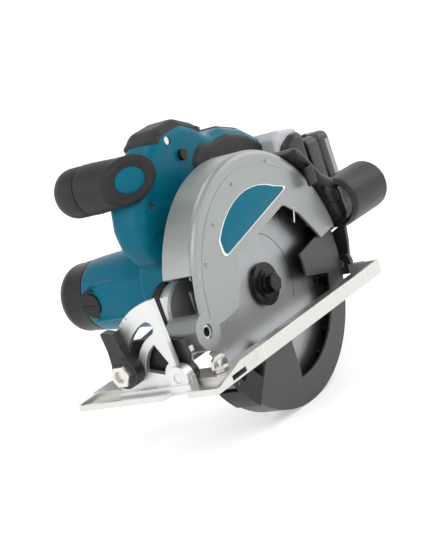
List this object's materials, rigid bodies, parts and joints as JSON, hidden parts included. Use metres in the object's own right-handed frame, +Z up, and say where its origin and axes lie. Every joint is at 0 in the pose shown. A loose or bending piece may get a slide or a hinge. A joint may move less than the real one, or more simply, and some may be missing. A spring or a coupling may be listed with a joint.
{
  "type": "circular saw",
  "caption": "Cordless circular saw with a tilting, depth-adjustable base plate, sprung lower blade guard, side motor, D-shaped rear handle, front grip, dust outlet and slide-on battery pack.",
  "frame": {"origin": "centre of the sole, the flat underside of the base plate", "axes": "+X the cutting direction, +Y from the motor towards the blade side, +Z up"},
  "size_m": [0.3029, 0.194, 0.215],
  "materials": {
    "base_aluminium": "satin pressed plate",
    "cast_silver": "as cast, blasted",
    "black_steel": "black coated",
    "zinc_steel": "zinc plated",
    "case_grey": "light grey satin paint",
    "badge_grey": "smooth satin",
    "bearing_steel": "ground",
    "machined_steel": "machined",
    "blade_steel": "dark brushed",
    "carbide": "ground carbide",
    "black_oxide_steel": "black oxide",
    "guard_grey": "dark grey satin paint",
    "black_plastic": "fine moulded texture",
    "roller_grey": "moulded",
    "teal_plastic": "moulded",
    "black_rubber": "soft touch",
    "mount_grey": "moulded",
    "battery_black": "moulded",
    "cell_metal": "sleeved cell",
    "magnet_grey": "sintered",
    "carbon": "pressed carbon",
    "lamination_steel": "stacked sheets",
    "copper": "bare copper"
  },
  "bodies": {
    "base": {"base_plate": "base_aluminium", "rear_bridge": "black_steel", "bevel_quadrant": "cast_silver", "bevel_pins": "zinc_steel"},
    "fence_screw": {"fence_screw": "zinc_steel"},
    "tilt_frame": {"front_tilt_plate": "black_steel", "rear_tilt_plate": "black_steel", "depth_guide": "black_steel", "bevel_clamp_bolt": "zinc_steel", "bevel_clamp_nut": "zinc_steel", "bevel_stop_screw": "zinc_steel", "depth_pivot_pin": "zinc_steel"},
    "bevel_lever": {"bevel_lever": "black_steel"},
    "saw_body": {"blade_case": "case_grey", "case_badge": "badge_grey", "gear_housing": "cast_silver", "spindle_bearing": "bearing_steel", "guard_spring": "machined_steel", "guard_snap_ring": "zinc_steel", "case_screws": "zinc_steel", "drum_ring": "black_plastic", "depth_stud": "zinc_steel", "motor_housing": "teal_plastic", "motor_end_cover": "black_plastic", "brush_caps": "black_plastic", "carbon_brushes": "carbon", "motor_magnets": "magnet_grey", "handle_blade_side": "teal_plastic", "handle_motor_side": "teal_plastic", "handle_screws": "zinc_steel", "grip_pads": "black_rubber", "switch_module": "black_plastic", "front_grip": "black_rubber", "front_grip_cap": "black_rubber", "grip_badge": "teal_plastic", "armature_bearings": "bearing_steel", "dust_nozzle": "black_plastic", "battery_mount": "mount_grey", "terminal_block": "copper"},
    "blade_set": {"spindle_gear": "machined_steel", "spindle": "machined_steel", "blade": "blade_steel", "blade_tips": "carbide", "inner_flange": "black_oxide_steel", "outer_flange": "black_oxide_steel", "blade_bolt": "black_oxide_steel"},
    "armature": {"armature_shaft": "machined_steel", "armature_core": "lamination_steel", "commutator": "copper", "cooling_fan": "black_plastic"},
    "lower_guard": {"lower_guard": "guard_grey", "guard_nose": "black_plastic"},
    "guard_roller": {"guard_roller": "roller_grey"},
    "depth_lever": {"depth_lever": "black_plastic"},
    "spindle_lock_button": {"spindle_lock_button": "black_plastic"},
    "trigger": {"trigger": "black_plastic"},
    "lock_off_button": {"lock_off_button": "black_plastic"},
    "battery": {"battery_case": "battery_black", "battery_cells": "cell_metal"},
    "battery_latch": {"battery_latch": "battery_black"}
  },
  "joints": [
    {"name": "fence_screw_turn", "type": "hinge", "parent": "base", "child": "fence_screw", "pos_m": [0.086, 0.045, 0.0064], "axis": [0, 0, 1], "range_deg": [-180, 180]},
    {"name": "bevel_tilt", "type": "hinge", "parent": "base", "child": "tilt_frame", "pos_m": [0, 0.0252, 0.0112], "axis": [-1, 0, 0], "range_deg": [0, 50]},
    {"name": "bevel_lever_swing", "type": "hinge", "parent": "tilt_frame", "child": "bevel_lever", "pos_m": [0.106, -0.01036, 0.02106], "axis": [1, 0, 0], "range_deg": [0, 60]},
    {"name": "depth_swing", "type": "hinge", "parent": "tilt_frame", "child": "saw_body", "pos_m": [0.0685, 0.005, 0.028], "axis": [0, 1, 0], "range_deg": [0, 32]},
    {"name": "depth_lever_swing", "type": "hinge", "parent": "saw_body", "child": "depth_lever", "pos_m": [-0.06053, -0.0033, 0.04384], "axis": [0, 1, 0], "range_deg": [0, 40]},
    {"name": "blade_spin", "type": "hinge", "parent": "saw_body", "child": "blade_set", "pos_m": [-0.022, 0.0175, 0.0294], "axis": [0, 1, 0], "continuous": true},
    {"name": "armature_spin", "type": "hinge", "parent": "saw_body", "child": "armature", "pos_m": [-0.00385, -0.06, 0.04819], "axis": [0, 1, 0], "continuous": true},
    {"name": "guard_swing", "type": "hinge", "parent": "saw_body", "child": "lower_guard", "pos_m": [-0.022, 0.0095, 0.0294], "axis": [0, 1, 0], "range_deg": [0, 128], "stiffness_Nm_per_rad": 0.12, "springref_deg": -91.67},
    {"name": "guard_roller_spin", "type": "hinge", "parent": "lower_guard", "child": "guard_roller", "pos_m": [0.05206, 0.0183, -0.0151], "axis": [0, 1, 0], "continuous": true},
    {"name": "spindle_lock_press", "type": "slide", "parent": "saw_body", "child": "spindle_lock_button", "axis": [-1, 0, 0], "range_m": [0, 0.003], "stiffness_N_per_m": 600, "springref_m": -0.003},
    {"name": "trigger_pull", "type": "slide", "parent": "saw_body", "child": "trigger", "axis": [0, 0, 1], "range_m": [0, 0.005], "stiffness_N_per_m": 900, "springref_m": -0.003},
    {"name": "lock_off_press", "type": "slide", "parent": "saw_body", "child": "lock_off_button", "axis": [0, -1, 0], "range_m": [0, 0.003], "stiffness_N_per_m": 600, "springref_m": -0.003},
    {"name": "battery_slide", "type": "slide", "parent": "saw_body", "child": "battery", "axis": [0, -1, 0], "range_m": [0, 0.08]},
    {"name": "battery_latch_press", "type": "slide", "parent": "battery", "child": "battery_latch", "axis": [0, 0, -1], "range_m": [0, 0.002], "stiffness_N_per_m": 900, "springref_m": -0.003}
  ],
  "couplings": [
    {"joint": "armature_spin", "follows": "blade_spin", "ratio": -5.1111}
  ]
}
